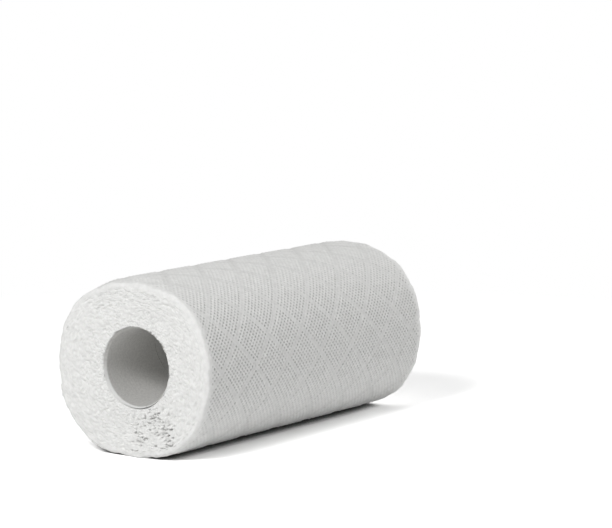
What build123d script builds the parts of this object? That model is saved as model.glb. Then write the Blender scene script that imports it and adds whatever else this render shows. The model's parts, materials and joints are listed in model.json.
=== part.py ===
"""Paper towel roll lying on its side: one embossed web of paper wound on a cardboard core.

Sizes are in millimetres. The roll lies along X with its flat spot on Z = 0, and the origin is under its
middle. Each piece is made upright, around the winding axis Z, and is then laid down. Upright, angle 0 is
the side that ends up underneath, and 90 degrees is the back.
"""

import math
import os

from build123d import *

# Cardboard core
CORE_BORE = 44.0
CORE_WALL = 0.8

# Wound paper
ROLL_DIAMETER = 103.0
SHEET_WIDTH = 220.0
RIM_RADIUS = 3.0  # outer edges of the ends, rounded by handling
FLAT_WIDTH = 22.0  # flat spot that the roll's own weight presses under it

# Turns, as the gap that winds between bundles of sheets on each end
TURN_PITCH = 3.2
TURN_BENDS = 24  # straight stretches to a turn
GAP_WIDTH = 0.8
GAP_DEPTH = 0.9

# Embossing: sunk bands that cross at right angles and leave diamonds between them
DIAMOND_SIDE = 22.0
BAND_WIDTH = 2.4
BAND_DEPTH = 0.35

# Tail: the free end of the web, on the lower back
TAIL_STEP = 0.6
TAIL_ANGLE = 75.0
TAIL_SPREAD = 35.0  # angle over which the tail rises off the turn below

roll_radius = ROLL_DIAMETER / 2
core_radius = CORE_BORE / 2 + CORE_WALL
axis_height = math.sqrt(roll_radius**2 - (FLAT_WIDTH / 2) ** 2)
end_z = SHEET_WIDTH / 2
inner_radius = roll_radius - RIM_RADIUS - GAP_WIDTH  # the gap winds within this radius


def polygon(corners):
    """A flat face with these corners."""
    return Face(Wire.make_polygon(corners))


def polar(radius, angle):
    """The point at this distance and angle from the winding axis."""
    return radius * math.cos(math.radians(angle)), radius * math.sin(math.radians(angle))


def notch(depth, width):
    """Corners of a V of this depth and width at the surface, which runs on as far beyond it.

    Each corner is (height over the surface, distance across).
    """
    return [(-depth, 0), (depth, width), (depth, -width)]


def core_tube():
    """Tube that the web is wound on."""
    return Cylinder(core_radius, SHEET_WIDTH) - Cylinder(CORE_BORE / 2, SHEET_WIDTH)


def soft_ring(radius):
    """The wound paper's envelope at this outer radius, each rim being two chords of its rounding."""
    chord = RIM_RADIUS * (1 - math.sqrt(0.5))
    half = [
        (core_radius, end_z),
        (radius - RIM_RADIUS, end_z),
        (radius - chord, end_z - chord),
        (radius, end_z - RIM_RADIUS),
    ]
    other_half = [(out, -along) for out, along in reversed(half)]
    return revolve(polygon([(out, 0, along) for out, along in half + other_half]), Axis.Z)


def turn_gap():
    """The gap between bundles of turns on the upper end: a V along a spiral from the core to the rim."""
    first = core_radius + TURN_PITCH
    last = inner_radius - GAP_WIDTH
    turns = (last - first) / TURN_PITCH
    bends = [bend / TURN_BENDS for bend in range(int(turns * TURN_BENDS) + 1)]
    spiral = Polyline(*[polar(first + TURN_PITCH * turn, TAIL_ANGLE + 360 * turn) for turn in bends])
    across_start = Plane(spiral @ 0, x_dir=(0, 0, 1), z_dir=spiral % 0)
    section = across_start * Polygon(*notch(GAP_DEPTH, GAP_WIDTH), align=None)
    return Pos(0, 0, end_z) * sweep(section, spiral, transition=Transition.RIGHT)


def diamond_bands(hand):
    """One family of bands, all wound the same way at 45 degrees, as cutters along the whole width."""
    girth = math.pi * ROLL_DIAMETER
    slant = math.sqrt(2)  # what 45 degrees adds to a width measured round the roll
    count = round(girth / (DIAMOND_SIDE * slant))
    length = SHEET_WIDTH + 2 * RIM_RADIUS
    corners = notch(BAND_DEPTH, BAND_WIDTH * slant)
    section = polygon([(roll_radius + height, across, -length / 2) for height, across in corners])
    twist = hand * 360 * length / girth
    band = Solid.extrude_linear_with_rotation(section, (0, 0, 0), (0, 0, length), twist)
    return [Rot(0, 0, 360 * place / count) * band for place in range(count)]


def tail():
    """The web's last stretch: it rises off the turn below and ends in a step along the whole width."""
    start = TAIL_ANGLE - TAIL_SPREAD
    rise = TAIL_STEP / math.sin(math.radians(TAIL_SPREAD))
    seat = roll_radius - 2 * BAND_DEPTH  # below the bands, which the tail covers
    sector = polygon([(0, 0), polar(ROLL_DIAMETER, start), polar(ROLL_DIAMETER, TAIL_ANGLE)])
    lifted = Pos(*polar(rise, start + 90)) * Circle(roll_radius)
    section = (sector & lifted) - Circle(seat)
    return extrude(section, end_z, both=True) & soft_ring(roll_radius + TAIL_STEP)


def inner_turns():
    """The turns from the core out, with the gap that winds between them on both ends."""
    gap = turn_gap()
    turns = Cylinder(inner_radius, SHEET_WIDTH) - Cylinder(core_radius, SHEET_WIDTH)
    return turns.cut(gap, mirror(gap, Plane.XY))


def outer_turns():
    """The turns that carry the rims and the embossing, flattened where the roll lies on the floor."""
    floor = Pos(axis_height + roll_radius, 0, 0) * Box(ROLL_DIAMETER, ROLL_DIAMETER, 2 * SHEET_WIDTH)
    turns = soft_ring(roll_radius) - Cylinder(inner_radius, SHEET_WIDTH) - floor
    for hand in (1, -1):
        turns = turns.cut(*diamond_bands(hand))
    return turns.fuse(tail())


def is_shared(face):
    """Whether this face is the wall between the inner and the outer turns."""
    return face.geom_type == GeomType.CYLINDER and math.isclose(face.radius, inner_radius)


def paper_roll():
    """All the turns of the web as one solid: the outside of both groups, without the wall they share."""
    faces = inner_turns().faces() + outer_turns().faces()
    return Solid(Shell([face for face in faces if not is_shared(face)]))


def laid_down(piece):
    """Turns an upright piece onto its side, with the roll's flat spot on the floor."""
    return Pos(0, 0, axis_height) * Rot(0, 90, 0) * piece


os.makedirs("parts", exist_ok=True)
for name, piece in {"core_tube": core_tube(), "paper_roll": paper_roll()}.items():
    export_step(laid_down(piece), f"parts/{name}.step")
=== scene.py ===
import json
import math

import bmesh
import bpy
import numpy as np
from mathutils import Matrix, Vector


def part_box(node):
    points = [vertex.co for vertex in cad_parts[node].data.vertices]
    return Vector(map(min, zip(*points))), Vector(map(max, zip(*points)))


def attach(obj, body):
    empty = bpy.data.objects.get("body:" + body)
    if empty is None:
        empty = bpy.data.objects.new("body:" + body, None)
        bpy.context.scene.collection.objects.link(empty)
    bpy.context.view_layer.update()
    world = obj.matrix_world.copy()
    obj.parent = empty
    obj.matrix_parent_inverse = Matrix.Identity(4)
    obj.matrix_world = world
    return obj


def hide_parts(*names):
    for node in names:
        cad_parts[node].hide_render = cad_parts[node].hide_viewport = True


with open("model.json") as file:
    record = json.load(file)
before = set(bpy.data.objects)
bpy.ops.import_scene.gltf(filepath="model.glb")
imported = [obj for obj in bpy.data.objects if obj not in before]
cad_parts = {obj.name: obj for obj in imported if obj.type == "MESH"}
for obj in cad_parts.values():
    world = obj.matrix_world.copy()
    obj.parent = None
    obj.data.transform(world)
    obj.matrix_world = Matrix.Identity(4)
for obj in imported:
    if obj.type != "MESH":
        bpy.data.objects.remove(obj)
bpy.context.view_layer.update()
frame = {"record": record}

# Sizes of the roll are in millimetres, and make_piece turns them into the frame's metres.
# Angles go round the core in degrees: 0 is underneath, 90 the back, 180 the top, 270 the side in view.
MM = 0.001

# Sizes from the frame
paper_low, paper_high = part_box("paper_roll")
core_low, core_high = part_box("core_tube")
ROLL_RADIUS = (paper_high.y - paper_low.y) / 2 / MM
HALF_WIDTH = (paper_high.x - paper_low.x) / 2 / MM
AXIS_Z = (core_high.z + core_low.z) / 2 / MM
CORE_RADIUS = (core_high.y - core_low.y) / 2 / MM
BORE_RADIUS = frame["record"]["mounts"][0]["dims"]["r_mm"]

# Soft shape of the wound paper
RIM_RADIUS = 2.3
RIM_BENDS = 6  # flat stretches that make up a rim's rounding
STRAIGHT = HALF_WIDTH - RIM_RADIUS  # from the middle to where a rim begins
SWELL = 0.95  # the loose outer turns stand off the nominal radius and are not quite round
THICKER_BACK = 1.3
THICKER_BELOW = 1.1
FLATTENING = 1.1
SQUARENESS = 0.8
LIFT = 1.4  # on both sides of its flat spot the roll leaves a narrow gap over the floor
LIFT_ANGLE = 12.0
LIFT_SPREAD = 7.0
RIPPLE = 0.15
RIM_WAVE = 0.4
RIM_BLEND = 6.0  # stretch before a rim in which the ripples give way to its waves
CRUSH = 1.8  # how far the upper edge of the near end is pressed in
CRUSH_ANGLE = 170.0
CRUSH_SPREAD = 45.0
CRUSH_LENGTH = 14.0
CRUSH_SHARE = 0.5  # share of the way from the core to the rim at which the pressing begins
CORE_FORWARD = 1.7  # the core lies a little off the middle of the paper
CORE_UP = 0.4

# Embossing
BANDS = 10  # plain bands of each of the two families that cross
DOT_PLACES = 10  # dot pitches from band to band; the band itself takes the place of one row
DOT_DEPTH = 1.6
DOT_RADIUS = 1.08
DOT_STRENGTHS = (0.55, 1.15)  # some dots are pressed harder than others
DOT_REPEAT = 97  # rows of dots after which the strengths repeat
DOT_FADE = (0.5, 4.5)  # distances from a rim at which the embossing begins and is full
PILLOW = 0.4  # how far the paper stands up between four dots
BAND_DEPTH = 0.25
BAND_HALF = 1.6
BAND_DOT = 0.25  # how deep dots on the bands are, when others are 1
BAND_SHADE = 0.13  # how much painted shade the sunk bands get, when a dot's middle is 1
BAND_START = 113.0  # how far before the middle the bands cross at angle 0

# The embossed face lies on a grid whose lines cross at the dots and halfway between them, by turns
# like the fields of a chessboard. On each stretch of a line, one more point marks the edge of the dot
# at one of its ends. The lines are half the dots' pitch apart, along the roll and round it.
LINE_PITCH = math.pi * ROLL_RADIUS / (BANDS * DOT_PLACES)
LINE_DEGREES = 180 / (BANDS * DOT_PLACES)
RIM_CLEAR = 0.3  # least distance from the outermost lines to the rims, in line pitches
LINES = np.arange(
    math.ceil((BAND_START - STRAIGHT) / LINE_PITCH + RIM_CLEAR),
    math.floor((BAND_START + STRAIGHT) / LINE_PITCH - RIM_CLEAR) + 1,
)
LINE_PLACES = LINES * LINE_PITCH - BAND_START

# Free end and perforation of the outer turn
TAIL_ANGLE = 75.0
TAIL_SPREAD = 35.0  # angle over which the free end rises off the turn below
TAIL_STEP = 0.7
TAIL_SLACK = ((0.5, 31.0, 0.0), (0.3, 13.0, 1.0))  # waves of its edge: share of the step, length, phase
TAIL_CLEAR = 0.5  # least angle between the free end and the nearest columns
TAIL_GAP = 0.1  # opening below it, and the angle that this goes in
TAIL_POCKET = 3.0
SHEET = 0.35  # thickness of the free end, and depth of the slits
SHEET_LENGTH = 240.0
SLIT_HALF = 0.2  # half the width of a perforation's slits
SLIT_POINTS = 4  # points along the roll from one bridge between slits to the next

# Turns on the ends
TURN_PITCH = 0.55
TURN_POINTS = 440  # points round each turn
TURN_SHORT = 0.05  # part of a turn that the last one lacks
LAYERS = 2  # points across one turn, the first of them in the gap below it
LIP = 0.6  # how far the outer turns show on the end, past their rounded rims
LIP_UNDER = 1.0  # how far they go on behind the next turns
LIP_DIP = 0.15
CORE_GAP = 0.15  # between the core and the first turn
CORE_GAPES = (103, 143, 276, 304)  # angles at which it is wider
CORE_GAPE = 0.7
GAPE_SPREAD = 4.0
GAPE_SHARE = 0.12  # share of the way to the rim over which the turns close up again
WOBBLE = 0.12  # how far turns stray from their spiral
INNER_RADIUS = CORE_RADIUS + CORE_GAP
OUTER_RADIUS = ROLL_RADIUS - RIM_RADIUS - LIP

# Relief of the ends
COARSE_RELIEF = 0.33
FINE_RELIEF = 0.42
GRAIN_RELIEF = 0.62
LAST_SHARE = 1.2  # share of the way from the core to the rims at which the relief's fields end
BUNDLES = 0.1  # bundles of turns that stand out
FIBRES = 0.05
TURN_GAP = 0.1  # depth of the gaps between turns, and how far it varies
TURN_GAP_VARIES = 0.08
RIM_SHARE = 0.06  # share of the way over which bundles, fibres and gaps fade before the rim
LOOSE_DEPTH = 4.0
LOOSE_SPREAD = 3.2
LOOSE_SIZES = (0.32, 0.58)
LOOSE_STRETCH = 1.3  # how much longer a hole is along its turn
LOOSE_SPOTS = (  # where the turns gape: angle, share of the way from core to rim, number of holes
    (332, 0.27, 36),
    (326, 0.62, 30),
    (354, 0.78, 16),
    (332, 1.0, 26),
    (352, 0.45, 18),
)

# Cardboard core
SEAM_LEAD = 67.0  # length of core in which its glued seam goes round once
SEAM_ANGLE = 95.0  # where the seam is at this distance before the middle
SEAM_PLACE = 63.6
SEAM_DEPTH = 0.7
SEAM_HALF = 1.2  # half the angle that it takes up
CORE_STEP = 3  # degrees between its columns of points
CORE_ROWS = 199  # points in a column, enough for the seam to wind smoothly
CORE_RECESS = 0.4  # how far the core's ends lie inside the paper's
CORE_RAGGED = 0.15
CORE_BEVEL = 1.8  # how far the cut slopes in, from the outside of the wall to its inside
CUT_EDGE = 0.5  # stretch in which the board changes to the colour of its cut
PAINTED_LIGHT_FROM = 6.0  # heights over the axis at which painted light on the cut begins and is full, paler towards the bottom
PAINTED_LIGHT_TO = -12.0

# Colours
WHITE = (1, 1, 1, 1)
TISSUE_COLOURS = ((0.80, 0.80, 0.787, 1), (0.885, 0.885, 0.872, 1))
# painted shade: the colour that darkens the dots' pits and the sunk bands
PAINTED_PIT_SHADE = (0.28, 0.28, 0.27, 1)
BOARD_COLOURS = ((0.60, 0.595, 0.58, 1), (0.70, 0.695, 0.675, 1))
# painted light: the paler colour of the lower half of the core's cut ends, where light from above falls
PAINTED_LIGHT_ON_CUT = (0.86, 0.86, 0.85, 1)

# Camera, lamps and floor: places and sizes in metres, sensor and lens in millimetres, power in watts
CAMERA_PLACE = (-1.3533, -0.9678, 0.3109)
CAMERA_DIRECTION = (0.8184, 0.5604, -0.1275)
SENSOR = 36
LENS = 168.55
SOFT_LIGHT = 0.2
LAMPS = (  # name, place, size and power
    ("key", (-1.9, -0.1, 1.5), 0.7, 32),
    ("top", (0.3, -0.4, 2.0), 1.5, 7.5),
    ("far", (1.2, -0.15, 0.15), 0.3, 6),
    ("front", (0.1, -1.6, 0.7), 0.8, 4.4),
)
FLOOR_REACH = 4.0
FLOOR_COLOUR = (0.95, 0.95, 0.95, 1)
FLOOR_SEEN = (1.7, 1.7, 1.7, 1)  # as the camera sees it: white where it is open, with a painted shadow under the roll
# painted shadow: the floor's colour where the roll closes it in
FLOOR_PAINTED_SHADOW = (0.1, 0.1, 0.1, 1)
UNDER_REACH = 0.009  # how near the roll has to be to close the floor in
UNDER_SHARES = (0.05, 0.35)  # open shares at which it is dark and white
FLOOR_FADE = (0.25, 0.6)  # distances between which it turns plain white

rng = np.random.default_rng(seed=7)
STRENGTH_OF = rng.uniform(*DOT_STRENGTHS, (DOT_REPEAT, DOT_REPEAT))


def smooth_step(value, low, high):
    """A smooth rise from 0 at low to 1 at high."""
    t = np.clip((value - low) / (high - low), 0, 1)
    return t * t * (3 - 2 * t)


def field(cells_u, cells_v):
    """A smooth random function of u and v, between -1 and 1.

    It repeats when u grows by 1, and v goes from 0 to 1.
    """
    grid = rng.uniform(-1, 1, (cells_v + 2, cells_u))

    def value(u, v):
        a = (u % 1) * cells_u
        b = np.clip(v, 0, 1) * cells_v
        i = np.floor(a).astype(int)
        j = np.floor(b).astype(int)
        s = smooth_step(a - i, 0, 1)
        t = smooth_step(b - j, 0, 1)
        here = grid[j, i % cells_u] * (1 - s) + grid[j, (i + 1) % cells_u] * s
        beyond = grid[j + 1, i % cells_u] * (1 - s) + grid[j + 1, (i + 1) % cells_u] * s
        return here * (1 - t) + beyond * t

    return value


# Unevenness of the near and the far end, which the wound turns and the rims share
COARSE = [field(80, 12) for _ in range(2)]
FINE = [field(170, 24) for _ in range(2)]
GRAIN = [field(300, 44) for _ in range(2)]


def around(angle, radius, along, offset):
    """Points from angles in degrees, distances from an axis and places along it, none below the floor.

    The axis is the roll's at offset 0 and the core's at offset 1.
    """
    angle, radius, along = np.broadcast_arrays(np.radians(angle), radius, along)
    y = radius * np.sin(angle) - CORE_FORWARD * offset
    z = AXIS_Z - radius * np.cos(angle) + CORE_UP * offset
    return np.stack([along, y, np.maximum(z, 0)], axis=-1)


def out_of_round(angle):
    """How far the roll's outline stands off its nominal radius."""
    a = np.radians(angle)
    eccentric = THICKER_BACK * np.sin(a) + THICKER_BELOW * np.cos(a)
    from_lift = np.abs((angle + 180) % 360 - 180) - LIFT_ANGLE
    lift = LIFT * np.exp(-((from_lift / LIFT_SPREAD) ** 2))
    return SWELL + eccentric - FLATTENING * np.cos(2 * a) - SQUARENESS * np.cos(4 * a) - lift


def crush(angle):
    """How far the upper edge of the near end is pressed in."""
    return CRUSH * smooth_step(1 - np.abs(angle % 360 - CRUSH_ANGLE) / CRUSH_SPREAD, 0, 0.5)


def loop_faces(index):
    """Quads between the rows of a grid of point numbers, whose last row joins the first."""
    after = np.roll(index, -1, axis=0)
    corners = [index[:, :-1], after[:, :-1], after[:, 1:], index[:, 1:]]
    return np.stack(corners, axis=-1).reshape(-1, 4)


def make_piece(name, points, faces, material, node, sharp):
    """A closed mesh that stands for a CAD node, with edges over the angle sharp left unsmoothed."""
    mesh = bpy.data.meshes.new(name)
    mesh.from_pydata((points * MM).tolist(), [], list(faces))
    work = bmesh.new()
    work.from_mesh(mesh)
    bmesh.ops.recalc_face_normals(work, faces=work.faces)
    work.to_mesh(mesh)
    work.free()
    mesh.polygons.foreach_set("use_smooth", [True] * len(mesh.polygons))
    mesh.set_sharp_from_angle(angle=math.radians(sharp))
    mesh.materials.append(material)
    piece = bpy.data.objects.new(name, mesh)
    bpy.context.collection.objects.link(piece)
    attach(piece, "root")
    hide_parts(node)
    return piece


def embossing(angle, along):
    """Height of the dots, pillows and plain bands, and the painted shade of the dots' pits and the sunk
    bands.
    """
    cell = 2 * math.pi * ROLL_RADIUS / BANDS / math.sqrt(2)
    pitch = cell / DOT_PLACES
    round_way = ROLL_RADIUS * np.radians(angle)
    long_way = along + BAND_START
    from_dot = 0
    is_dot = True
    places = []
    band = 0
    for way in (round_way - long_way, round_way + long_way):
        across = way / math.sqrt(2)
        place = np.round(across / pitch)
        from_dot = from_dot + (across - place * pitch) ** 2
        is_dot = is_dot & (place % DOT_PLACES != 0)
        places.append(place.astype(int) % DOT_REPEAT)
        from_band = across - np.round(across / cell) * cell
        band = np.maximum(band, np.exp(-((from_band / BAND_HALF) ** 2)))
    from_dot = np.sqrt(from_dot)
    inside = smooth_step(STRAIGHT - np.abs(along), *DOT_FADE)
    strength = STRENGTH_OF[places[0], places[1]] * np.where(is_dot, 1, BAND_DOT)
    dot = np.clip(1 - from_dot / DOT_RADIUS, 0, 1) * strength * inside
    pillow = np.clip((from_dot - DOT_RADIUS) / (LINE_PITCH - DOT_RADIUS), 0, 1) * (1 - band) * inside
    band = band * inside
    height = PILLOW * pillow - DOT_DEPTH * dot - BAND_DEPTH * band
    return height, np.maximum(dot, BAND_SHADE * band)


def end_blotches(end, angle, share):
    """Unevenness of an end.

    The share is that of the way from the core to where the rim begins, and it goes on past the rim.
    """
    u = angle / 360
    v = share / LAST_SHARE
    coarse = COARSE_RELIEF * COARSE[end](u, v)
    return coarse + FINE_RELIEF * FINE[end](u, v) + GRAIN_RELIEF * GRAIN[end](u, v)


def ripples(angle, along):
    """How far the face strays: soft ripples, the waves of its rims and the pressed-in edge."""
    u = angle / 360
    v = (along / HALF_WIDTH + 1) / 2
    ripple = RIPPLE * field(9, 5)(u, v) + RIPPLE / 2 * field(30, 12)(u, v)
    wave = RIM_WAVE * field(45, 1)(u, np.round(v)) + RIM_WAVE / 2 * field(110, 1)(u, np.round(v))
    near_rim = smooth_step(np.abs(along), STRAIGHT - RIM_BLEND, STRAIGHT)
    pressed = crush(angle) * smooth_step(-along, HALF_WIDTH - CRUSH_LENGTH, HALF_WIDTH)
    return ripple * (1 - near_rim) + wave * near_rim - pressed


def tail_lift(angle, along):
    """How far the free end stands off the turn below it."""
    rise = np.clip((angle - TAIL_ANGLE + TAIL_SPREAD) / TAIL_SPREAD, 0, 1)
    slack = sum(size * np.sin(along / length + phase) for size, length, phase in TAIL_SLACK)
    return TAIL_STEP * rise**1.5 * (1 + slack * rise**2)


def dots_of(column):
    """Which of the lines have their dot on this column."""
    return (column + LINES) % 2 == 0


def rim_profile():
    """A rim from the face to the lip on the end: distances from the middle, depths below the face."""
    bends = [math.radians(90 / RIM_BENDS * bend) for bend in range(RIM_BENDS + 1)]
    profile = [(STRAIGHT + RIM_RADIUS * math.sin(b), RIM_RADIUS * (1 - math.cos(b))) for b in bends]
    return np.array(profile + [(HALF_WIDTH - LIP_DIP, RIM_RADIUS + LIP + LIP_UNDER)])


def column_places(column):
    """Places along the roll of a column's points, from lip to lip, and their depths below the face."""
    after_dots = LINE_PLACES[:-1] + DOT_RADIUS
    before_dots = LINE_PLACES[1:] - DOT_RADIUS
    edges = np.where(dots_of(column)[:-1], after_dots, before_dots)
    middle = np.sort(np.concatenate([LINE_PLACES, edges]))
    rim = rim_profile()
    along = np.concatenate([-rim[::-1, 0], middle, rim[:, 0]])
    depth = np.concatenate([rim[::-1, 1], 0 * middle, rim[:, 1]])
    return along, depth


def strip(here, there):
    """Quads between two columns that have their points at the same places."""
    return list(zip(here[:-1], there[:-1], there[1:], here[1:]))


def dot_faces(column, here, there, between):
    """Faces from one column to the next: the dots' triangles and the plain hexagons.

    They are made from the numbers of the points here, on the column, there, on the next, and between.
    """
    rim = len(rim_profile())
    a = here[rim:-rim]
    b = there[rim:-rim]
    faces = strip(here[:rim], there[:rim]) + strip(here[-rim:], there[-rim:])
    faces.append((here[rim - 1], there[rim - 1], b[0], between[0], a[0]))
    faces.append((a[-1], between[-1], b[-1], there[-rim], here[-rim]))
    for line, dot in enumerate(dots_of(column)[:-1]):
        k = 2 * line
        low = between[line]
        high = between[line + 1]
        if dot:
            faces.append((a[k], low, a[k + 1]))
            faces.append((b[k + 2], high, b[k + 1]))
            faces.append((low, b[k], b[k + 1], high, a[k + 2], a[k + 1]))
        else:
            faces.append((b[k], b[k + 1], low))
            faces.append((a[k + 2], a[k + 1], high))
            faces.append((a[k], low, b[k + 1], b[k + 2], high, a[k + 1]))
    return faces


def outer_layout():
    """Angles, places along, depths and lifts of the outermost turns' points, and the faces on them."""
    layout = []
    faces = []
    tail_end = TAIL_ANGLE + 360
    first = math.ceil((TAIL_ANGLE + TAIL_CLEAR) / LINE_DEGREES)
    room = tail_end - TAIL_CLEAR - first * LINE_DEGREES
    last = first + 2 * math.floor(room / LINE_DEGREES / 2)
    perforated = round((tail_end - math.degrees(SHEET_LENGTH / ROLL_RADIUS)) / LINE_DEGREES)
    slit = math.degrees(SLIT_HALF / ROLL_RADIUS)
    dot_edge = math.degrees(DOT_RADIUS / ROLL_RADIUS)

    def add(angle, along, depth, lift):
        """Adds points to the layout and gives their numbers."""
        begin = sum(group.shape[1] for group in layout)
        layout.append(np.stack(np.broadcast_arrays(angle, along, depth, lift)))
        return list(range(begin, begin + len(along)))

    def add_column(column, angle, sink=0.0):
        """Adds the points of a column at this angle, sunk below the face."""
        along, depth = column_places(column)
        return add(angle, along, depth + sink, tail_lift(angle - 360, along))

    def add_between(column):
        """Adds the points on the lines between a column and the next."""
        after_dot = column * LINE_DEGREES + dot_edge
        before_dot = (column + 1) * LINE_DEGREES - dot_edge
        angle = np.where(dots_of(column), after_dot, before_dot)
        return add(angle, LINE_PLACES, 0, tail_lift(angle - 360, LINE_PLACES))

    start = here = add_column(first, first * LINE_DEGREES)
    for column in range(first, last):
        if column == perforated:
            sink = SHEET * (np.arange(len(here)) % SLIT_POINTS > 0)
            groove = add_column(column, column * LINE_DEGREES + slit, sink)
            beyond = add_column(column, column * LINE_DEGREES + 2 * slit)
            faces += strip(here, groove) + strip(groove, beyond)
            here = beyond
        between = add_between(column)
        there = add_column(column + 1, (column + 1) * LINE_DEGREES)
        faces += dot_faces(column, here, there, between)
        here = there

    along, depth = column_places(last)
    lift = tail_lift(TAIL_ANGLE, along)
    tail = (
        (tail_end, lift),
        (tail_end, np.maximum(lift - SHEET, TAIL_GAP)),
        (tail_end - TAIL_POCKET, TAIL_GAP),
        (tail_end - TAIL_POCKET, 0),
        (tail_end, 0),
    )
    for angle, height in tail:
        there = add(angle, along, depth, height)
        faces += strip(here, there)
        here = there
    faces += strip(here, start)
    return np.concatenate(layout, axis=1), faces


def outer_turns(material):
    """The outermost turns: embossed, with soft rims, the free end and a row of perforations."""
    (angle, along, depth, lift), faces = outer_layout()
    emboss, pressed = embossing(angle, along)
    height = out_of_round(angle) + ripples(angle, along) + emboss - depth + lift
    lips = np.flatnonzero(depth > RIM_RADIUS + LIP).reshape(-1, 2)
    faces += loop_faces(lips[:, ::-1]).tolist()
    share = 1 + (RIM_RADIUS + LIP - depth) / (OUTER_RADIUS - INNER_RADIUS)
    bulge = np.where(along < 0, -end_blotches(0, angle, share), end_blotches(1, angle, share))
    bulge *= smooth_step(np.abs(along), STRAIGHT, HALF_WIDTH - LIP_DIP)
    points = around(angle, ROLL_RADIUS + height, along + bulge, 0)
    piece = make_piece("outer_turns", points, faces, material, "paper_roll", sharp=75)
    # The pressed attribute carries painted shade for the dots' pits and the sunk bands.
    piece.data.attributes.new("pressed", "FLOAT", "POINT").data.foreach_set("value", pressed)


def loose_holes(angle, share):
    """Depth of the holes where the turns gape."""
    depth = 0
    reach = OUTER_RADIUS - INNER_RADIUS
    for spot_angle, spot_share, count in LOOSE_SPOTS:
        middle = INNER_RADIUS + reach * spot_share
        for _ in range(count):
            out, across = rng.normal(0, LOOSE_SPREAD, 2)
            size = rng.uniform(*LOOSE_SIZES)
            from_angle = np.radians((angle - spot_angle + 180) % 360 - 180) * middle - across
            from_share = (share - spot_share) * reach - out
            away = np.hypot(from_angle / LOOSE_STRETCH, from_share)
            depth = np.maximum(depth, LOOSE_DEPTH * smooth_step(1 - away / size, 0, 0.5))
    return depth


def end_relief(end, angle, turn, share, layer):
    """How far points of the turns stand out of the roll's end. Layer 0 is in the gap below its turn."""
    u = angle / 360
    v = turn / turn.max()
    bundles = BUNDLES * field(5, 40)(u, v)
    fibres = FIBRES * rng.normal(size=turn.shape)
    gaps = (TURN_GAP + TURN_GAP_VARIES * field(40, 46)(u, v)) * (layer == 0)
    inside = smooth_step(1 - share, 0, RIM_SHARE)
    relief = end_blotches(end, angle, share) + (bundles + fibres - gaps) * inside
    return relief - loose_holes(angle, share)


def core_gapes(angle, share):
    """How far the first turns stand off the core where it has come loose from them."""
    gape = 0
    for place in CORE_GAPES:
        gape = gape + CORE_GAPE * np.exp(-(((angle - place + 180) % 360 - 180) / GAPE_SPREAD) ** 2)
    return gape * smooth_step(1 - share, 1 - GAPE_SHARE, 1)


def wound_turns(material):
    """All the turns inside the outermost ones as one closed spiral, whose edges show on both ends."""
    turns = (OUTER_RADIUS - INNER_RADIUS) / TURN_PITCH
    steps = int((turns - TURN_SHORT) * TURN_POINTS)
    # A turn shares the points of its outer gap with the next turn, so the last one has its own round.
    step = np.concatenate([np.repeat(np.arange(steps + 1), LAYERS), np.arange(TURN_POINTS) + steps + 1])
    layer = np.concatenate([np.tile(np.arange(LAYERS), steps + 1), np.zeros(TURN_POINTS, int)])
    turn = step / TURN_POINTS + layer / LAYERS
    angle = 360 * step / TURN_POINTS + TAIL_ANGLE
    below = np.minimum(step / TURN_POINTS, turns)
    above = np.minimum(step / TURN_POINTS + 1, turns)
    share = (below + (above - below) * layer / LAYERS) / turns
    wobble = WOBBLE * field(48, 20)(angle / 360, share) * np.minimum(1, 4 * share * (1 - share))
    reach = OUTER_RADIUS - INNER_RADIUS + out_of_round(angle)
    radius = INNER_RADIUS + reach * share + wobble + core_gapes(angle, share)
    pressed = crush(angle) * smooth_step(share, CRUSH_SHARE, 1)
    near_end = -HALF_WIDTH - end_relief(0, angle, turn, share, layer)
    far_end = HALF_WIDTH + end_relief(1, angle, turn, share, layer)
    near_points = around(angle, radius - pressed, near_end, 1 - share)
    far_points = around(angle, radius, far_end, 1 - share)
    count = len(step)

    def number(n, k):
        """Number of the point at step n and layer k. The layer past the last is the next turn's gap."""
        n = n + TURN_POINTS * (k == LAYERS)
        k = k % LAYERS
        return np.where(n <= steps, n * LAYERS + k, steps * LAYERS + LAYERS + n - steps - 1)

    grid = number(np.arange(steps + 1)[:, None], np.arange(LAYERS + 1)[None, :])
    end_face = loop_faces(grid)[:-LAYERS]
    faces = [end_face, end_face + count]
    for first in (0, steps):
        gap_line = number(np.arange(first, first + TURN_POINTS), 0)
        step_back = number(first, np.arange(LAYERS, 0, -1))
        rim = np.concatenate([gap_line, step_back])
        faces.append(loop_faces(np.stack([rim, rim + count], axis=-1)))
    points = np.vstack([near_points, far_points])
    make_piece("wound_turns", points, np.vstack(faces).tolist(), material, "paper_roll", sharp=180)


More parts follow.
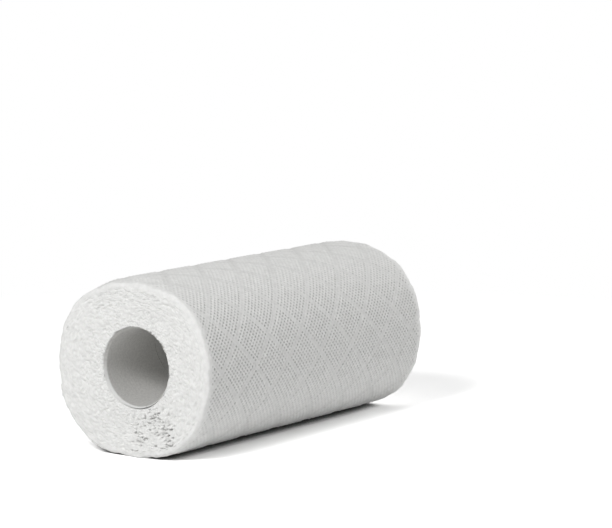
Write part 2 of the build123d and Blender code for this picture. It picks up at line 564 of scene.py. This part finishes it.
def core_tube(material):
    """The cardboard tube with its spiral seam and its slightly ragged cut ends."""
    share = np.linspace(0, 1, CORE_ROWS)
    plain = np.arange(CORE_STEP, 360 - SEAM_HALF, CORE_STEP)
    columns = np.sort(np.concatenate([plain, [0, SEAM_HALF, 360 - SEAM_HALF]]))[:, None]
    seam = SEAM_DEPTH * (columns == 0)
    angle = SEAM_ANGLE + columns - 360 * (HALF_WIDTH * (2 * share - 1) + SEAM_PLACE) / SEAM_LEAD
    ragged = field(50, 1)(angle[:, [0, -1]] / 360, np.array([[0.0, 1.0]]) + 0 * columns)
    recess = CORE_RECESS + CORE_RAGGED * ragged

    def rows(recess):
        """Places along the core of its rows, when its two ends lie this far inside the paper's."""
        return (recess[:, :1] - HALF_WIDTH) * (1 - share) + (HALF_WIDTH - recess[:, 1:]) * share

    outside = around(angle, CORE_RADIUS, rows(recess), 1)[:, ::-1]
    wall = around(angle, BORE_RADIUS + seam, rows(recess + CORE_BEVEL), 1)
    points = np.concatenate([wall, outside], axis=1)
    index = np.arange(points[..., 0].size).reshape(points.shape[:2])
    faces = np.vstack([loop_faces(index), loop_faces(index[:, [-1, 0]])])
    make_piece("core_board", points.reshape(-1, 3), faces.tolist(), material, "core_tube", sharp=12)


def fill(tree, socket, value):
    """Gives a socket a value, or links it to another node's output."""
    if isinstance(value, bpy.types.NodeSocket):
        tree.links.new(value, socket)
    else:
        socket.default_value = value


def add_node(tree, kind, **inputs):
    """A new shader node whose inputs, named with underscores for spaces, are set or linked."""
    made = tree.nodes.new(kind)
    for name, value in inputs.items():
        fill(tree, made.inputs[name.replace("_", " ")], value)
    return made


def blend(tree, factor, colours, low=0.0, high=1.0):
    """A colour that goes from the first to the second as the factor goes from low to high."""
    ramp = add_node(tree, "ShaderNodeValToRGB", Fac=factor)
    for element, position, colour in zip(ramp.color_ramp.elements, (low, high), colours):
        element.position = position
        element.color = colour
    return ramp.outputs["Color"]


def mix_colours(tree, factor, first, second, way="MIX"):
    """Two colours mixed by a factor, each colour a value or another node's output."""
    made = add_node(tree, "ShaderNodeMix")
    made.data_type = "RGBA"
    made.blend_type = way
    # The sockets go by number, because those for numbers, vectors and colours have the same names.
    for place, value in ((0, factor), (6, first), (7, second)):
        fill(tree, made.inputs[place], value)
    return made.outputs[2]


def factor_of(tree, value, low, high):
    """A factor that goes from 0 to 1 as the value goes from low to high."""
    made = add_node(tree, "ShaderNodeMapRange", Value=value, From_Min=low, From_Max=high)
    return made.outputs["Result"]


def new_material(name):
    """A matt material, and its nodes, main shader and place in the frame."""
    material = bpy.data.materials.new(name)
    material.use_nodes = True
    tree = material.node_tree
    shader = tree.nodes["Principled BSDF"]
    shader.inputs["Roughness"].default_value = 0.95
    shader.inputs["Specular IOR Level"].default_value = 0.2
    place = add_node(tree, "ShaderNodeTexCoord").outputs["Object"]
    return material, tree, shader, place


def tissue():
    """Soft white tissue, a little cloudy, with painted shade in the pits of its dots and on its sunk
    bands, and fine fibres.
    """
    material, tree, shader, place = new_material("tissue")
    clouds = add_node(tree, "ShaderNodeTexNoise", Vector=place, Scale=350.0, Detail=3.0)
    colour = blend(tree, clouds.outputs["Fac"], TISSUE_COLOURS, low=0.3, high=0.7)
    # Painted shade: the pits of the dots and the sunk bands are darkened by colour.
    pressed = add_node(tree, "ShaderNodeAttribute")
    pressed.attribute_name = "pressed"
    dots = blend(tree, pressed.outputs["Fac"], (WHITE, PAINTED_PIT_SHADE))
    tree.links.new(mix_colours(tree, 1.0, colour, dots, "MULTIPLY"), shader.inputs["Base Color"])
    fibres = add_node(tree, "ShaderNodeTexNoise", Vector=place, Scale=1800.0, Detail=4.0)
    bump = add_node(tree, "ShaderNodeBump", Strength=0.3, Distance=0.0002, Height=fibres.outputs["Fac"])
    tree.links.new(bump.outputs["Normal"], shader.inputs["Normal"])
    return material


def grey_board():
    """Grey recycled board with specks, and painted light on the lower half of its cut ends."""
    material, tree, shader, place = new_material("grey_board")
    specks = add_node(tree, "ShaderNodeTexNoise", Vector=place, Scale=900.0, Detail=5.0)
    board = blend(tree, specks.outputs["Fac"], BOARD_COLOURS, low=0.35, high=0.65)
    along_x, _, up_z = add_node(tree, "ShaderNodeSeparateXYZ", Vector=place).outputs
    from_middle = add_node(tree, "ShaderNodeMath", Value=along_x)
    from_middle.operation = "ABSOLUTE"
    cut_start = HALF_WIDTH - CORE_RECESS - CORE_BEVEL
    cut = factor_of(tree, from_middle.outputs[0], cut_start * MM, (cut_start + CUT_EDGE) * MM)
    # Painted light: the lower half of the cut ends is made paler by colour, as light from above would
    # make it.
    lower_half = factor_of(tree, up_z, (AXIS_Z + PAINTED_LIGHT_FROM) * MM, (AXIS_Z + PAINTED_LIGHT_TO) * MM)
    painted_light_cut = mix_colours(tree, lower_half, board, PAINTED_LIGHT_ON_CUT)
    tree.links.new(mix_colours(tree, cut, board, painted_light_cut), shader.inputs["Base Color"])
    return material


def camera():
    """The photograph's point of view."""
    data = bpy.data.cameras.new("camera")
    data.sensor_width = SENSOR
    data.lens = LENS
    data.clip_end = 20
    made = bpy.data.objects.new("camera", data)
    bpy.context.collection.objects.link(made)
    made.location = CAMERA_PLACE
    made.rotation_euler = Vector(CAMERA_DIRECTION).to_track_quat("-Z", "Y").to_euler()
    bpy.context.scene.camera = made


def area_light(name, place, size, power):
    """A square lamp that faces the roll."""
    data = bpy.data.lights.new(name, "AREA")
    data.size = size
    data.energy = power
    made = bpy.data.objects.new(name, data)
    bpy.context.collection.objects.link(made)
    made.location = place
    aim = Vector((0, 0, AXIS_Z * MM)) - Vector(place)
    made.rotation_euler = aim.to_track_quat("-Z", "Y").to_euler()


def mix_shaders(tree, factor, first, second):
    """Two shaders mixed by a factor."""
    made = add_node(tree, "ShaderNodeMixShader", Fac=factor)
    tree.links.new(first.outputs[0], made.inputs[1])
    tree.links.new(second.outputs[0], made.inputs[2])
    return made


def studio():
    """Soft light all round, the lamps, and white behind."""
    scene = bpy.context.scene
    scene.view_settings.view_transform = "Standard"
    world = bpy.data.worlds.new("studio")
    scene.world = world
    world.use_nodes = True
    tree = world.node_tree
    tree.nodes.clear()
    seen = add_node(tree, "ShaderNodeLightPath").outputs["Is Camera Ray"]
    soft = add_node(tree, "ShaderNodeBackground", Color=WHITE, Strength=SOFT_LIGHT)
    white = add_node(tree, "ShaderNodeBackground", Color=WHITE, Strength=1.0)
    out = add_node(tree, "ShaderNodeOutputWorld")
    tree.links.new(mix_shaders(tree, seen, soft, white).outputs[0], out.inputs["Surface"])
    for lamp in LAMPS:
        area_light(*lamp)


def floor_material():
    """White, and to the camera with a painted shadow where the roll closes it in, and plain white
    further out.
    """
    material = bpy.data.materials.new("floor")
    material.use_nodes = True
    tree = material.node_tree
    tree.nodes.clear()
    matt = add_node(tree, "ShaderNodeBsdfDiffuse", Color=FLOOR_COLOUR)
    # Painted shadow: the floor is darkened by colour where the roll closes it in.
    open_share = add_node(tree, "ShaderNodeAmbientOcclusion", Distance=UNDER_REACH).outputs["AO"]
    bright = mix_colours(tree, factor_of(tree, open_share, *UNDER_SHARES), FLOOR_PAINTED_SHADOW, FLOOR_SEEN)
    lit = add_node(tree, "ShaderNodeBsdfDiffuse", Color=bright)
    white = add_node(tree, "ShaderNodeEmission", Color=WHITE, Strength=1.0)
    place = add_node(tree, "ShaderNodeTexCoord").outputs["Object"]
    away = add_node(tree, "ShaderNodeVectorMath", Vector=place)
    away.operation = "LENGTH"
    near_or_far = mix_shaders(tree, factor_of(tree, away.outputs["Value"], *FLOOR_FADE), lit, white)
    seen = add_node(tree, "ShaderNodeLightPath").outputs["Is Camera Ray"]
    out = add_node(tree, "ShaderNodeOutputMaterial")
    tree.links.new(mix_shaders(tree, seen, matt, near_or_far).outputs[0], out.inputs["Surface"])
    return material


def floor():
    """White floor that keeps the roll's shadow."""
    mesh = bpy.data.meshes.new("floor")
    corners = [(-1, -1, 0), (1, -1, 0), (1, 1, 0), (-1, 1, 0)]
    mesh.from_pydata([Vector(corner) * FLOOR_REACH for corner in corners], [], [(0, 1, 2, 3)])
    made = bpy.data.objects.new("floor", mesh)
    bpy.context.collection.objects.link(made)
    mesh.materials.append(floor_material())


paper = tissue()
outer_turns(paper)
wound_turns(paper)
core_tube(grey_board())
camera()
studio()
floor()
